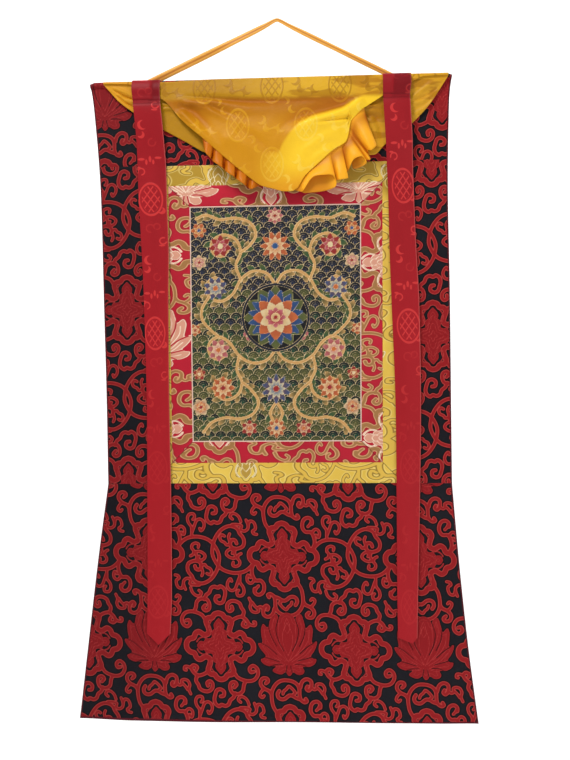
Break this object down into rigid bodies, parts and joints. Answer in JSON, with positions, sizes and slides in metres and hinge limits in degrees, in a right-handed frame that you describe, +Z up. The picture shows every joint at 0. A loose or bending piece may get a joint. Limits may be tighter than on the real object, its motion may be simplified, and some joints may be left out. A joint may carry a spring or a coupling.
{
  "type": "thangka scroll painting",
  "caption": "Painted hanging scroll in a flared silk brocade mount, with a mitred double frame, a lifted silk cover with a ruffle, hanging ribbons and a tape to hang it by.",
  "frame": {"origin": "the bend of the hanging tape, on its middle line, where the scroll is held up", "axes": "+Z up, -Y towards the viewer of the painting, +X to that viewer's right"},
  "size_m": [0.6724, 0.0437, 1.1927],
  "materials": {
    "black_brocade": "satin",
    "yellow_brocade": "satin",
    "red_brocade": "satin",
    "piping": "satin",
    "painted_cotton": "matte",
    "yellow_damask": "glossy satin",
    "yellow_silk": "glossy satin",
    "red_damask": "glossy satin",
    "tape": "satin"
  },
  "bodies": {
    "root": {"brocade_top": "black_brocade", "brocade_left": "black_brocade", "brocade_right": "black_brocade", "brocade_bottom": "black_brocade", "yellow_top": "yellow_brocade", "yellow_bottom": "yellow_brocade", "yellow_left": "yellow_brocade", "yellow_right": "yellow_brocade", "red_top": "red_brocade", "red_bottom": "red_brocade", "red_left": "red_brocade", "red_right": "red_brocade", "piping_top": "piping", "piping_bottom": "piping", "piping_left": "piping", "piping_right": "piping", "painting": "painted_cotton", "veil": "yellow_damask", "veil_frill": "yellow_silk", "ribbon_left": "red_damask", "ribbon_right": "red_damask", "hanging_tape": "tape"}
  },
  "joints": []
}
